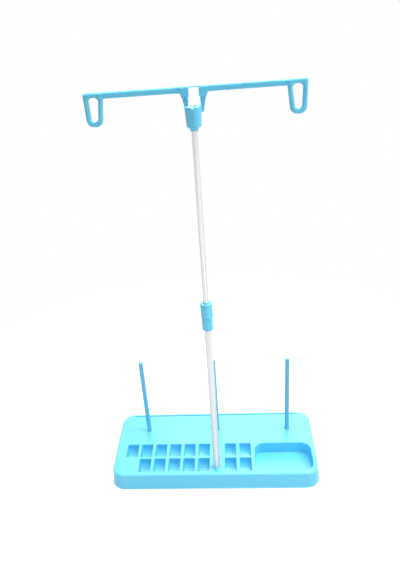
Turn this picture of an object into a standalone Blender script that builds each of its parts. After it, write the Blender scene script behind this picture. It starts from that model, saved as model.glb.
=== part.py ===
# Thread spool stand: a moulded base with bobbin slots, a tray and three spool pins, and a telescoping pole
# that carries a thread guide bar. Units are metres, +Z is up, the user looks along +Y from the slotted side.
# The origin is on the floor, under the centre of the base.

import math

import bmesh
import bpy

# Clearances
FIT = 0.0003                    # air left between two pieces that sit in or on each other
OVERCUT = 0.001                 # how far a cutter runs past the face that it opens

# Base shell
BASE_LENGTH = 0.236
BASE_WIDTH = 0.1073
BASE_CORNER = 0.016
BASE_DRAFT = 0.002              # how far the sides lean in from the skirt to the deck
BASE_EDGE = 0.002               # rounding between the sides and the deck
SHELL_WALL = 0.002
DECK_THICKNESS = 0.0022
SKIRT_BOTTOM = 0.001
REAR_GROOVE_WIDTH = 0.0014      # shallow groove along the deck's straight rear edge
REAR_GROOVE_DEPTH = 0.001
REAR_GROOVE_RIM = 0.0011        # flat deck between the groove and the rounded edge

# Bottom cover, its screws and the rubber pads
PAD_RADIUS = 0.006
PAD_THICKNESS = 0.0013
PAD_FROM_END = 0.014
PAD_FROM_SIDE = 0.011
PAD_EDGE = 0.0003
COVER_THICKNESS = 0.0016
SCREW_FROM_END = 0.034
SCREW_FROM_BACK = 0.0115
SCREW_RADIUS = 0.00125
SCREW_HEAD_RADIUS = 0.0024
SCREW_LENGTH = 0.010
SCREW_BOSS_WALL = 0.0019
RECESS_DEPTH = 0.0007
RECESS_WIDTH = 0.0006

# Bobbin slots: troughs with a half-round floor, in two rows
SLOT_WIDTH = 0.013
SLOT_PITCH = 0.01697
SLOT_LENGTH = 0.020
SLOT_STRAIGHT = 0.0028          # upright part of the slot wall, above the half-round floor
SLOT_RIM = 0.0005
SLOT_FROM_FRONT = 0.0076
ROW_STRIP = 0.003
END_STRIP = 0.014
RIGHT_COLUMNS = 2
CUP_WALL = 0.0016
UNDER_CUPS = 0.0026             # free height between the slot cups and the cover

# Accessory tray
TRAY_GAP = 0.0046               # deck left between the last slot and the tray
TRAY_FROM_END = 0.0068
TRAY_CORNER = 0.0115
TRAY_RIM = 0.0008
TRAY_FILLET = 0.0012

# Spool pins
PIN_RADIUS = 0.0025
PIN_HEIGHT = 0.1022             # above the deck
PIN_SPACING = 0.0839
PIN_FROM_BACK = 0.03185
PIN_TIP = 0.0008
PIN_BOSS_WALL = 0.0022
PIN_BOSS_DEPTH = 0.0115         # below the top of the deck
PIN_FLANGE_LIP = 0.0018
PIN_FLANGE = 0.0016

# Pole
POLE_X = 0.0035
POLE_FROM_FRONT = 0.01385
POLE_STRIP = 0.0176             # deck between the slots on both sides of the pole
UPPER_TUBE_RADIUS = 0.0025
UPPER_TUBE_WALL = 0.0006
UPPER_TUBE_LENGTH = 0.2338
LOWER_TUBE_WALL = 0.0007
LOWER_TUBE_LENGTH = 0.2099
TUBE_OVERLAP = 0.040            # length of upper tube inside the lower one, as drawn
SOCKET_WALL = 0.0024
SOCKET_RING = 0.0012            # height of the raised ring round the pole's foot
SOCKET_DEPTH = 0.012            # below the top of the deck
SOCKET_FLOOR = 0.002
PLUG_FLANGE = 0.001
PLUG_STEM = 0.0088
POLE_SCREW_RADIUS = 0.0015
POLE_SCREW_HEAD = 0.0022
POLE_SCREW_GRIP = 0.0065        # length of the screw inside the plug
SLIDE_FLANGE = 0.0015
SLIDE_STEM = 0.008

# Height lock
SLEEVE_LENGTH = 0.0142
SLEEVE_WALL = 0.0016
SLEEVE_ROUND = 0.0015
TUBE_IN_SPIGOT = 0.002          # lower tube's end above the sleeve's shoulder
SPIGOT_WALL = 0.0009
SPIGOT_ABOVE_TUBE = 0.0075
NUT_WALL = 0.0008
NUT_BULGE = 0.0002
NUT_EDGE = 0.0005
NUT_TOP = 0.0016
COLLET_CONE = 0.0040
COLLET_WALL = 0.0007
COLLET_LIP = 0.0008
COLLET_SLIT = 0.001

# Guide bar
BAR_HALF_LENGTH = 0.0914
BAR_HEIGHT = 0.0051
BAR_DEPTH = 0.005
BAR_EDGE = 0.0005
BAR_FRONT_SETBACK = 0.003       # front face of the bar behind the pole's axis
BAR_END_ROUND = 0.0018
BAR_SHIFT = 0.0012              # the bar's middle sits this much to the right of the pole
LOOP_WIDTH = 0.0165             # at the bar
LOOP_FOOT_WIDTH = 0.0139        # at the bottom
LOOP_DROP = 0.0276              # from the bar's top to the loop's lowest point
LOOP_CORNER = 0.006
LOOP_END_LEAN = 0.0006
LOOP_STRIP = 0.0041
LOOP_TOP_WEB = 0.0039
LOOP_TIP_RADIUS = 0.003
LOOP_HOLE_CORNER = 0.0034
LOOP_BLOCK_PROUD = 0.0006
LOOP_BLOCK_HEIGHT = 0.0052
EYE_HALF_WIDTH = 0.0051
EYE_HEIGHT = 0.014
EYE_CORNER = 0.001
EYE_WEB = 0.0009
ARM_BLOCK_INSET = 0.0009        # how far a block reaches into the eye
ARM_BLOCK_HEIGHT = 0.0082
ARM_BLOCK_PROUD = 0.001
ARM_WIDTH = 0.0066              # at the bar
ARM_SHOULDER = 0.0048           # just under the block
ARM_TIP_WIDTH = 0.0022          # at the lower tip, past the eye's edge
ARM_TIP_DROP = 0.0059           # arm's lower tip below the top of the collar
COLLAR_TOP_RADIUS = 0.00705
COLLAR_FOOT_RADIUS = 0.0062
COLLAR_HEIGHT = 0.0171
COLLAR_CAP = 0.0030             # plastic left over the tube's end
COLLAR_ROUND = 0.0009
COLLAR_FOOT_ROUND = 0.002
COLLAR_NECK_HEIGHT = 0.0026
COLLAR_NECK_WALL = 0.0013
COLLAR_NECK_LIP = 0.0005
NOTCH_WIDTH = 0.0040            # thread notch across the top of the collar
NOTCH_DEPTH = 0.0014

# Facets
ROUND_SIDES = 32
SMALL_SIDES = 20
CORNER_STEPS = 8
EDGE_STEPS = 4
TROUGH_STEPS = 14

# Levels and places that follow from the sizes above
half_length = BASE_LENGTH / 2
half_width = BASE_WIDTH / 2
cover_bottom = PAD_THICKNESS + FIT
cover_top = cover_bottom + COVER_THICKNESS
cups_floor = cover_top + FIT + UNDER_CUPS
slot_radius = SLOT_LENGTH / 2
deck_top = cups_floor + CUP_WALL + slot_radius + SLOT_STRAIGHT
deck_middle = deck_top - DECK_THICKNESS / 2
tray_floor = cover_top + FIT + CUP_WALL
slot_front = -half_width + SLOT_FROM_FRONT
row_fronts = [slot_front, slot_front + SLOT_LENGTH + ROW_STRIP]
rows_back = row_fronts[-1] + SLOT_LENGTH
pole_y = -half_width + POLE_FROM_FRONT
pin_y = half_width - PIN_FROM_BACK

pin_bore = PIN_RADIUS + FIT
pin_boss_radius = pin_bore + PIN_BOSS_WALL
pin_boss_end = deck_top - PIN_BOSS_DEPTH
pin_flange_radius = PIN_RADIUS + PIN_FLANGE_LIP
pin_foot = pin_boss_end - FIT - PIN_FLANGE

lower_bore = UPPER_TUBE_RADIUS + FIT
lower_radius = lower_bore + LOWER_TUBE_WALL
upper_bore = UPPER_TUBE_RADIUS - UPPER_TUBE_WALL
socket_bore = lower_radius + FIT
socket_radius = socket_bore + SOCKET_WALL
socket_seat = deck_top - SOCKET_DEPTH
socket_end = socket_seat - SOCKET_FLOOR
plug_foot = socket_seat + FIT
lower_foot = plug_foot + PLUG_FLANGE + FIT
lower_top = lower_foot + LOWER_TUBE_LENGTH
upper_foot = lower_top - TUBE_OVERLAP
upper_top = upper_foot + UPPER_TUBE_LENGTH

shoulder = lower_top - TUBE_IN_SPIGOT
spigot_top = lower_top + SPIGOT_ABOVE_TUBE
spigot_radius = socket_bore + SPIGOT_WALL
nut_bore = spigot_radius + FIT
nut_radius = nut_bore + NUT_WALL
nut_foot = shoulder + FIT
collet_head_foot = spigot_top + FIT
collet_bore = UPPER_TUBE_RADIUS + FIT
collet_top_radius = collet_bore + COLLET_WALL
collet_head_radius = collet_top_radius + COLLET_LIP
collet_top = collet_head_foot + COLLET_CONE
nut_seat = collet_top + FIT
nut_top = nut_seat + NUT_TOP

collar_top = upper_top + FIT + COLLAR_CAP
collar_foot = collar_top - COLLAR_HEIGHT
eye_top = collar_top + EYE_HEIGHT
bar_top = eye_top + EYE_WEB
bar_bottom = bar_top - BAR_HEIGHT


def slot_columns():
    """Left edges of the slot columns, those left of the pole first, from the pole outwards."""
    gap = SLOT_PITCH - SLOT_WIDTH
    left_limit = -half_length + END_STRIP
    first_right_edge = POLE_X - POLE_STRIP / 2
    left_count = int((first_right_edge - left_limit + gap) / SLOT_PITCH)
    left = [first_right_edge - SLOT_WIDTH - SLOT_PITCH * k for k in range(left_count)]
    right = [POLE_X + POLE_STRIP / 2 + SLOT_PITCH * k for k in range(RIGHT_COLUMNS)]
    return left, right


def make_look(name, colour, roughness, metallic):
    look = bpy.data.materials.new(name)
    look.use_nodes = True
    shader = look.node_tree.nodes["Principled BSDF"]
    shader.inputs["Base Color"].default_value = (*colour, 1.0)
    shader.inputs["Roughness"].default_value = roughness
    shader.inputs["Metallic"].default_value = metallic
    return look


def add_object(name, bm, place, look=None):
    """Turns a bmesh into an object that stands at place, with its faces pointing out."""
    bmesh.ops.recalc_face_normals(bm, faces=bm.faces)
    mesh = bpy.data.meshes.new(name)
    bm.to_mesh(mesh)
    bm.free()
    mesh.shade_smooth()
    mesh.set_sharp_from_angle(angle=math.radians(30))
    obj = bpy.data.objects.new(name, mesh)
    obj.location = place
    bpy.context.scene.collection.objects.link(obj)
    if look:
        obj.data.materials.append(look)
    return obj


def as_cutter(obj):
    obj.hide_render = True
    obj.display_type = "WIRE"
    return obj


def combine(obj, tool, operation):
    modifier = obj.modifiers.new(operation.lower(), "BOOLEAN")
    modifier.solver = "EXACT"
    modifier.operation = operation
    modifier.object = as_cutter(tool)


def combine_all(obj, tools, operation):
    """One Boolean with a whole set of shapes, which may overlap each other."""
    group = bpy.data.collections.new(obj.name + "_" + operation.lower())
    bpy.context.scene.collection.children.link(group)
    for tool in tools:
        group.objects.link(as_cutter(tool))
        bpy.context.scene.collection.objects.unlink(tool)
    modifier = obj.modifiers.new(operation.lower(), "BOOLEAN")
    modifier.solver = "EXACT"
    modifier.operation = operation
    modifier.operand_type = "COLLECTION"
    modifier.collection = group


def arc(centre, radius, start, end, steps):
    """Points on a circle from one angle to another, in degrees, both ends included."""
    points = []
    for k in range(steps + 1):
        angle = math.radians(start + (end - start) * k / steps)
        points.append((centre[0] + radius * math.cos(angle), centre[1] + radius * math.sin(angle)))
    return points


def bridge(bm, low, high):
    count = len(low)
    for k in range(count):
        bm.faces.new((low[k], low[(k + 1) % count], high[(k + 1) % count], high[k]))


def stack(bm, rings):
    """Closed solid through a pile of rings, each a list of (x, y, z) with as many points."""
    loops = [[bm.verts.new(point) for point in ring] for ring in rings]
    for low, high in zip(loops, loops[1:]):
        bridge(bm, low, high)
    bm.faces.new(loops[0])
    bm.faces.new(loops[-1])


def turn(bm, profile, sides, hollow=False):
    """Turned solid about Z. The profile is (radius, height) points; a solid's starts and ends on the axis."""
    rings = []
    for radius, height in profile:
        if radius == 0:
            rings.append([bm.verts.new((0, 0, height))])
            continue
        angles = [2 * math.pi * k / sides for k in range(sides)]
        rings.append([bm.verts.new((radius * math.cos(a), radius * math.sin(a), height)) for a in angles])
    pairs = list(zip(rings, rings[1:]))
    if hollow:
        pairs.append((rings[-1], rings[0]))
    for low, high in pairs:
        if len(low) == 1:
            low, high = high, low
        if len(high) == 1:
            for k in range(sides):
                bm.faces.new((low[k], low[(k + 1) % sides], high[0]))
        else:
            bridge(bm, low, high)


def turned(name, profile, place, look=None, sides=ROUND_SIDES, hollow=False):
    bm = bmesh.new()
    turn(bm, profile, sides, hollow)
    return add_object(name, bm, place, look)


def rounded_rectangle(low, high, radius, steps=CORNER_STEPS):
    """Plan outline between two corners, with round corners."""
    corners = [(high[0] - radius, high[1] - radius, 0), (low[0] + radius, high[1] - radius, 90),
               (low[0] + radius, low[1] + radius, 180), (high[0] - radius, low[1] + radius, 270)]
    points = []
    for x, y, start in corners:
        points += arc((x, y), radius, start, start + 90, steps)
    return points


def level_ring(low, high, radius, grow, z):
    """The outline between low and high, grown outwards on all sides, at the height z."""
    outline = rounded_rectangle((low[0] - grow, low[1] - grow), (high[0] + grow, high[1] + grow), radius + grow)
    return [(x, y, z) for x, y in outline]


def draft_at(z):
    return BASE_DRAFT * (z - SKIRT_BOTTOM) / (deck_top - SKIRT_BOTTOM)


def base_outline(inset, z):
    corner = (half_length, half_width)
    return level_ring((-corner[0], -corner[1]), corner, BASE_CORNER, -inset, z)


def base_body():
    """The base as a solid block, with leaning sides and a rounded top edge."""
    rings = [base_outline(0, SKIRT_BOTTOM)]
    for inset, z in arc((BASE_EDGE, deck_top - BASE_EDGE), BASE_EDGE, 180, 90, EDGE_STEPS):
        rings.append(base_outline(draft_at(z) + inset, z))
    bm = bmesh.new()
    stack(bm, rings)
    return bm


def base_cavity():
    """The hollow under the deck, open at the bottom."""
    top = deck_top - DECK_THICKNESS
    levels = [SKIRT_BOTTOM - OVERCUT, top]
    bm = bmesh.new()
    stack(bm, [base_outline(SHELL_WALL + draft_at(z), z) for z in levels])
    return add_object("base_cavity", bm, (0, 0, 0))


def trough_outline(wall, top):
    """Side view of a slot, grown by the wall: upright sides over a half-round floor, as (y, z) from its middle."""
    radius = slot_radius + wall
    centre = deck_top - SLOT_STRAIGHT
    return [(-radius, top)] + arc((0, centre), radius, 180, 360, TROUGH_STEPS) + [(radius, top)]


def slot_cup(left, right, y_middle):
    """Plastic round a run of slots, from the deck down."""
    bm = bmesh.new()
    outline = trough_outline(CUP_WALL, deck_middle)
    stack(bm, [[(x, y_middle + y, z) for y, z in outline] for x in (left - CUP_WALL, right + CUP_WALL)])
    return add_object("slot_cup", bm, (0, 0, 0))


def slot_cutter(left, y_middle):
    """One slot: the trough, and above it the mouth with its rounded rim."""
    right = left + SLOT_WIDTH
    bm = bmesh.new()
    outline = trough_outline(0, deck_top - SLOT_RIM)
    sides = [[bm.verts.new((x, y_middle + y, z)) for y, z in outline] for x in (left, right)]
    for k in range(len(outline) - 1):
        bm.faces.new((sides[0][k], sides[0][k + 1], sides[1][k + 1], sides[1][k]))
    bm.faces.new(sides[0])
    bm.faces.new(sides[1])
    mouth = [sides[0][0], sides[1][0], sides[1][-1], sides[0][-1]]
    rim = arc((SLOT_RIM, deck_top - SLOT_RIM), SLOT_RIM, 180, 90, EDGE_STEPS)[1:] + [(SLOT_RIM, deck_top + OVERCUT)]
    for grow, z in rim:
        x_low, x_high = left - grow, right + grow
        y_low, y_high = y_middle - slot_radius - grow, y_middle + slot_radius + grow
        corners = ((x_low, y_low, z), (x_high, y_low, z), (x_high, y_high, z), (x_low, y_high, z))
        level = [bm.verts.new(corner) for corner in corners]
        bridge(bm, mouth, level)
        mouth = level
    bm.faces.new(mouth)
    return add_object("slot_cutter", bm, (0, 0, 0))


def tray_corners():
    last_right_edge = slot_columns()[1][-1] + SLOT_WIDTH
    return (last_right_edge + TRAY_GAP, slot_front), (half_length - TRAY_FROM_END, rows_back)


def tray_cup():
    low, high = tray_corners()
    radius = TRAY_FILLET + CUP_WALL
    floor = tray_floor - CUP_WALL
    bm = bmesh.new()
    fillet = arc((-radius, floor + radius), radius, 270, 360, EDGE_STEPS)
    rings = [level_ring(low, high, TRAY_CORNER, CUP_WALL + grow, z) for grow, z in fillet]
    rings.append(level_ring(low, high, TRAY_CORNER, CUP_WALL, deck_middle))
    stack(bm, rings)
    return add_object("tray_cup", bm, (0, 0, 0))


def tray_cutter():
    low, high = tray_corners()
    fillet = arc((-TRAY_FILLET, tray_floor + TRAY_FILLET), TRAY_FILLET, 270, 360, EDGE_STEPS)
    rim = arc((TRAY_RIM, deck_top - TRAY_RIM), TRAY_RIM, 180, 90, EDGE_STEPS)
    bm = bmesh.new()
    stack(bm, [level_ring(low, high, TRAY_CORNER, grow, z)
               for grow, z in fillet + rim + [(TRAY_RIM, deck_top + OVERCUT)]])
    return add_object("tray_cutter", bm, (0, 0, 0))


def rod(name, radius, low, high, x, y, sides=SMALL_SIDES):
    return turned(name, [(0, low), (radius, low), (radius, high), (0, high)], (x, y, 0), sides=sides)


def pin_places():
    return {"left": POLE_X - PIN_SPACING, "centre": POLE_X, "right": POLE_X + PIN_SPACING}


def screw_places():
    """Cover screws: two at the back, one in the free corner by the slots, one between the slots at the pole."""
    left, right = slot_columns()
    corner_x = left[-1] + SLOT_WIDTH / 2
    corner_y = row_fronts[0] + SLOT_LENGTH - SLOT_WIDTH / 2
    back_x = half_length - SCREW_FROM_END
    back_y = half_width - SCREW_FROM_BACK
    return [(-back_x, back_y), (back_x, back_y), (corner_x, corner_y), (POLE_X, row_fronts[1] + slot_radius)]


def rear_groove():
    """Cutter for the groove, as long as the straight part of the rear edge."""
    back = half_width - BASE_DRAFT - BASE_EDGE - REAR_GROOVE_RIM
    end = half_length - BASE_CORNER
    radius = REAR_GROOVE_WIDTH * 0.45
    bm = bmesh.new()
    stack(bm, [level_ring((-end, back - REAR_GROOVE_WIDTH), (end, back), radius, 0, z)
               for z in (deck_top - REAR_GROOVE_DEPTH, deck_top + OVERCUT)])
    return add_object("rear_groove", bm, (0, 0, 0))


def make_base_tray(look):
    base = add_object("base_tray", base_body(), (0, 0, 0), look)
    combine(base, base_cavity(), "DIFFERENCE")
    left, right = slot_columns()
    added = [tray_cup(), rod("socket", socket_radius, socket_end, deck_top + SOCKET_RING, POLE_X, pole_y, ROUND_SIDES)]
    cut = [tray_cutter(), rear_groove(),
           rod("socket_bore", socket_bore, socket_seat, deck_top + SOCKET_RING + OVERCUT, POLE_X, pole_y, ROUND_SIDES),
           rod("socket_screw_hole", POLE_SCREW_RADIUS + FIT, socket_end - OVERCUT, socket_seat + OVERCUT, POLE_X,
               pole_y)]
    for row, front in enumerate(row_fronts):
        middle = front + slot_radius
        row_left = left if row else left[:-1]
        added.append(slot_cup(row_left[-1], row_left[0] + SLOT_WIDTH, middle))
        added.append(slot_cup(right[0], right[-1] + SLOT_WIDTH, middle))
        cut += [slot_cutter(x, middle) for x in row_left + right]
    for x in pin_places().values():
        added.append(rod("pin_boss", pin_boss_radius, pin_boss_end, deck_middle, x, pin_y))
        cut.append(rod("pin_bore", pin_bore, pin_boss_end - OVERCUT, deck_top + OVERCUT, x, pin_y))
    screw_bore = SCREW_RADIUS + FIT
    for x, y in screw_places():
        added.append(rod("screw_boss", screw_bore + SCREW_BOSS_WALL, cover_top + FIT, deck_middle, x, y))
        cut.append(rod("screw_bore", screw_bore, cover_top + FIT - OVERCUT, cover_top + SCREW_LENGTH, x, y))
    combine_all(base, added, "UNION")
    combine_all(base, cut, "DIFFERENCE")


def make_base_cover(look):
    """Bottom plate inside the skirt, with countersunk screw holes and a post under each spool pin."""
    inset = SHELL_WALL + draft_at(cover_top) + FIT
    bm = bmesh.new()
    stack(bm, [base_outline(inset, cover_bottom), base_outline(inset, cover_top)])
    cover = add_object("base_cover", bm, (0, 0, 0), look)
    posts = [rod("pin_post", PIN_RADIUS + PIN_FLANGE_LIP / 2, cover_top - COVER_THICKNESS / 2, pin_foot - FIT, x, pin_y)
             for x in pin_places().values()]
    hole = SCREW_RADIUS + FIT
    mouth = SCREW_HEAD_RADIUS + 2 * FIT
    profile = [(0, cover_bottom - OVERCUT), (mouth + OVERCUT, cover_bottom - OVERCUT),
               (hole, cover_bottom + mouth - hole), (hole, cover_top + OVERCUT), (0, cover_top + OVERCUT)]
    holes = [turned("countersink", profile, (x, y, 0), sides=SMALL_SIDES) for x, y in screw_places()]
    combine_all(cover, posts, "UNION")
    combine_all(cover, holes, "DIFFERENCE")


def cross_cutter(reach, width, low, high):
    """Cross recess of a screw head, as a plus sign pulled up from low to high."""
    a, b = reach, width / 2
    plus = [(a, -b), (a, b), (b, b), (b, a), (-b, a), (-b, b), (-a, b), (-a, -b), (-b, -b), (-b, -a), (b, -a), (b, -b)]
    bm = bmesh.new()
    stack(bm, [[(x, y, z) for x, y in plus] for z in (low, high)])
    return bm


def make_screw(name, profile, recess_reach, place, look):
    """Screw that stands head down at z = 0 of its own frame, with a cross recess in the head."""
    screw = turned(name, profile, place, look, sides=SMALL_SIDES)
    cutter = add_object(name + "_recess", cross_cutter(recess_reach, RECESS_WIDTH, -OVERCUT, RECESS_DEPTH), place)
    combine(screw, cutter, "DIFFERENCE")


def make_cover_screws(look):
    head = SCREW_HEAD_RADIUS
    profile = [(0, 0), (head, 0), (SCREW_RADIUS, head - SCREW_RADIUS),
               (SCREW_RADIUS, SCREW_LENGTH - 2 * SCREW_RADIUS), (SCREW_RADIUS / 2, SCREW_LENGTH), (0, SCREW_LENGTH)]
    for number, (x, y) in enumerate(screw_places(), 1):
        place = (x, y, cover_bottom + FIT / 2)
        make_screw("cover_screw_%d" % number, profile, head * 2 / 3, place, look)


def make_foot_pads(look):
    x = half_length - PAD_FROM_END
    y = half_width - PAD_FROM_SIDE
    profile = [(0, 0), (PAD_RADIUS - PAD_EDGE, 0), (PAD_RADIUS, PAD_EDGE), (PAD_RADIUS, PAD_THICKNESS),
               (0, PAD_THICKNESS)]
    for number, (side, end) in enumerate(((-1, -1), (1, -1), (-1, 1), (1, 1)), 1):
        turned("foot_pad_%d" % number, profile, (side * x, end * y, 0), look)


def make_spool_pins(look):
    """Straight rods with a flange at the foot, which the deck's boss holds down."""
    top = deck_top + PIN_HEIGHT - pin_foot
    profile = [(0, 0), (pin_flange_radius, 0), (pin_flange_radius, PIN_FLANGE), (PIN_RADIUS, PIN_FLANGE)]
    profile += arc((PIN_RADIUS - PIN_TIP, top - PIN_TIP), PIN_TIP, 0, 90, EDGE_STEPS) + [(0, top)]
    for side, x in pin_places().items():
        turned("spool_pin_" + side, profile, (x, pin_y, pin_foot), look, sides=SMALL_SIDES)


def tube_profile(outer, inner, length):
    return [(outer, 0), (outer, length), (inner, length), (inner, 0)]


def make_lower_pole(look_metal, look_plastic, look_steel):
    """Lower tube, the plug in its foot and the screw that holds both in the socket."""
    turned("lower_tube", tube_profile(lower_radius, lower_bore, LOWER_TUBE_LENGTH), (POLE_X, pole_y, lower_foot),
           look_metal, hollow=True)
    stem = lower_bore - FIT
    stem_top = PLUG_FLANGE + PLUG_STEM
    tapped = POLE_SCREW_RADIUS + FIT
    tapped_top = PLUG_FLANGE + POLE_SCREW_GRIP + FIT
    plug = [(0, tapped_top), (tapped, tapped_top), (tapped, 0), (lower_radius, 0), (lower_radius, PLUG_FLANGE),
            (stem, PLUG_FLANGE), (stem, stem_top), (0, stem_top)]
    turned("pole_plug", plug, (POLE_X, pole_y, plug_foot), look_plastic)
    head = POLE_SCREW_RADIUS * 2
    height = POLE_SCREW_HEAD
    tip = height + FIT + SOCKET_FLOOR + FIT + PLUG_FLANGE + POLE_SCREW_GRIP - FIT
    screw = [(0, 0), (head, 0), (head, height), (POLE_SCREW_RADIUS, height), (POLE_SCREW_RADIUS, tip), (0, tip)]
    make_screw("pole_screw", screw, head * 2 / 3, (POLE_X, pole_y, socket_end - FIT - height), look_steel)


def make_lock_sleeve(look):
    """Sleeve on the lower tube's top, with a thinner spigot that the nut turns on."""
    outer = socket_bore + SLEEVE_WALL
    foot = shoulder - SLEEVE_LENGTH
    profile = [(socket_bore, foot)]
    profile += arc((outer - SLEEVE_ROUND, foot + SLEEVE_ROUND), SLEEVE_ROUND, 270, 360, EDGE_STEPS)
    profile += [(outer, shoulder - NUT_EDGE), (outer - NUT_EDGE, shoulder), (spigot_radius, shoulder),
                (spigot_radius, spigot_top), (socket_bore, spigot_top)]
    local = [(radius, z - shoulder) for radius, z in profile]
    turned("lock_sleeve", local, (POLE_X, pole_y, shoulder), look, hollow=True)


def make_lock_collet(look):
    """Split bush: a stem inside the spigot and a cone that the nut presses on the upper tube."""
    stem = socket_bore - FIT
    profile = [(collet_bore, lower_top + FIT), (stem, lower_top + FIT), (stem, collet_head_foot),
               (collet_head_radius, collet_head_foot), (collet_top_radius, collet_top), (collet_bore, collet_top)]
    local = [(radius, z - lower_top) for radius, z in profile]
    collet = turned("lock_collet", local, (POLE_X, pole_y, lower_top), look, hollow=True)
    bm = bmesh.new()
    reach = collet_head_radius + OVERCUT
    low, high = -OVERCUT, collet_top - lower_top + OVERCUT
    corners = [(0, -COLLET_SLIT / 2), (reach, -COLLET_SLIT / 2), (reach, COLLET_SLIT / 2), (0, COLLET_SLIT / 2)]
    stack(bm, [[(x, y, z) for x, y in corners] for z in (low, high)])
    combine(collet, add_object("collet_slit", bm, (POLE_X, pole_y, lower_top)), "DIFFERENCE")


def make_lock_nut(look):
    """Nut with a slight bulge at its foot, bored for the spigot and the collet's cone."""
    bulge = nut_radius + NUT_BULGE
    bulge_z = nut_foot + 4 * NUT_EDGE
    cone_slack = 2 * FIT
    profile = [(nut_bore, nut_foot), (nut_radius - NUT_EDGE, nut_foot), (nut_radius, nut_foot + NUT_EDGE),
               (bulge, bulge_z), (nut_radius, bulge_z + 4 * NUT_EDGE), (nut_radius, nut_top - NUT_EDGE),
               (nut_radius - NUT_EDGE, nut_top), (collet_bore, nut_top), (collet_bore, nut_seat),
               (collet_top_radius + cone_slack, nut_seat),
               (nut_bore, collet_head_foot + nut_bore - collet_head_radius)]
    local = [(radius, z - nut_foot) for radius, z in profile]
    turned("lock_nut", local, (POLE_X, pole_y, nut_foot), look, hollow=True)


def make_upper_tube(look_metal, look_plastic):
    """Upper tube and the plug in its foot, which runs in the lower tube."""
    tube = turned("upper_tube", tube_profile(UPPER_TUBE_RADIUS, upper_bore, UPPER_TUBE_LENGTH),
                  (POLE_X, pole_y, upper_foot), look_metal, hollow=True)
    stem = upper_bore - FIT
    top = SLIDE_FLANGE + FIT + SLIDE_STEM
    profile = [(0, 0), (UPPER_TUBE_RADIUS, 0), (UPPER_TUBE_RADIUS, SLIDE_FLANGE), (stem, SLIDE_FLANGE), (stem, top),
               (0, top)]
    plug = turned("slide_plug", profile, (0, 0, -FIT - SLIDE_FLANGE), look_plastic)
    plug.parent = tube


def loop_outline(side):
    """Outline of a hanging end loop from the bar's top corner down and back to the bar's underside."""
    end = BAR_HALF_LENGTH
    low = bar_top - LOOP_DROP + LOOP_CORNER
    outer = end - LOOP_END_LEAN
    inner = outer - LOOP_FOOT_WIDTH
    points = arc((end - BAR_END_ROUND, bar_top - BAR_END_ROUND), BAR_END_ROUND, 90, 0, EDGE_STEPS)
    points += arc((outer - LOOP_CORNER, low), LOOP_CORNER, 0, -90, CORNER_STEPS)
    points += arc((inner + LOOP_CORNER, low), LOOP_CORNER, -90, -180, CORNER_STEPS)
    points.append((end - LOOP_WIDTH, bar_bottom))
    return [(side * x + BAR_SHIFT, z) for x, z in points]


def loop_hole(side):
    """The thread hole of a loop: wide at the top, narrowing to a round tip."""
    high = bar_top - LOOP_TOP_WEB
    low = bar_top - LOOP_DROP + LOOP_STRIP + LOOP_TIP_RADIUS
    outer = BAR_HALF_LENGTH - LOOP_STRIP
    inner = BAR_HALF_LENGTH - LOOP_WIDTH + LOOP_STRIP
    tip = BAR_HALF_LENGTH - LOOP_END_LEAN - LOOP_FOOT_WIDTH / 2
    corner = LOOP_HOLE_CORNER
    points = arc((inner + corner, high - corner), corner, 180, 90, EDGE_STEPS)
    points += arc((outer - corner, high - corner), corner, 90, 0, EDGE_STEPS)
    points += arc((tip, low), LOOP_TIP_RADIUS, 0, -180, CORNER_STEPS)
    return [(side * x + BAR_SHIFT, z) for x, z in points]


def bar_outline():
    """Front view of the bar, its end loops and the two arms down to the collar, about the pole's axis."""
    arm = [(EYE_HALF_WIDTH + ARM_WIDTH, bar_bottom), (EYE_HALF_WIDTH + ARM_SHOULDER, bar_top - ARM_BLOCK_HEIGHT),
           (EYE_HALF_WIDTH + ARM_TIP_WIDTH, collar_top - ARM_TIP_DROP)]
    right = loop_outline(1) + [(BAR_SHIFT + x, z) for x, z in arm]
    left = loop_outline(-1) + [(BAR_SHIFT - x, z) for x, z in arm]
    return right + left[::-1]


def eye_hole():
    """The middle thread guide: an open eye between the arms, over the collar."""
    low = collar_top - COLLAR_CAP / 2
    left, right = BAR_SHIFT - EYE_HALF_WIDTH, BAR_SHIFT + EYE_HALF_WIDTH
    points = arc((left + EYE_CORNER, eye_top - EYE_CORNER), EYE_CORNER, 180, 90, EDGE_STEPS)
    points += arc((right - EYE_CORNER, eye_top - EYE_CORNER), EYE_CORNER, 90, 0, EDGE_STEPS)
    return points + [(right, low), (left, low)]


def plate(name, outline, holes, front, depth, place, look=None):
    """Flat plate from a front view with holes, as thick as depth along Y."""
    bm = bmesh.new()
    for loop in [outline] + holes:
        verts = [bm.verts.new((x, front, z)) for x, z in loop]
        for a, b in zip(verts, verts[1:] + verts[:1]):
            bm.edges.new((a, b))
    bmesh.ops.triangle_fill(bm, edges=bm.edges, use_beauty=True)
    back = bmesh.ops.extrude_face_region(bm, geom=bm.faces)
    moved = [item for item in back["geom"] if isinstance(item, bmesh.types.BMVert)]
    bmesh.ops.translate(bm, verts=moved, vec=(0, depth, 0))
    return add_object(name, bm, place, look)


def block(name, outline, proud, place):
    """Pad that stands out of the bar's front face, rooted in the middle of the bar."""
    return plate(name, outline, [], BAR_FRONT_SETBACK - proud, proud + BAR_DEPTH / 2, place)


def arm_block_outline(side):
    inner = EYE_HALF_WIDTH - ARM_BLOCK_INSET
    low = bar_top - ARM_BLOCK_HEIGHT
    high = bar_top - BAR_EDGE
    corners = [(inner, low), (EYE_HALF_WIDTH + ARM_SHOULDER + BAR_EDGE, low), (EYE_HALF_WIDTH + ARM_WIDTH, high),
               (inner, high)]
    return [(side * x + BAR_SHIFT, z) for x, z in corners]


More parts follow.
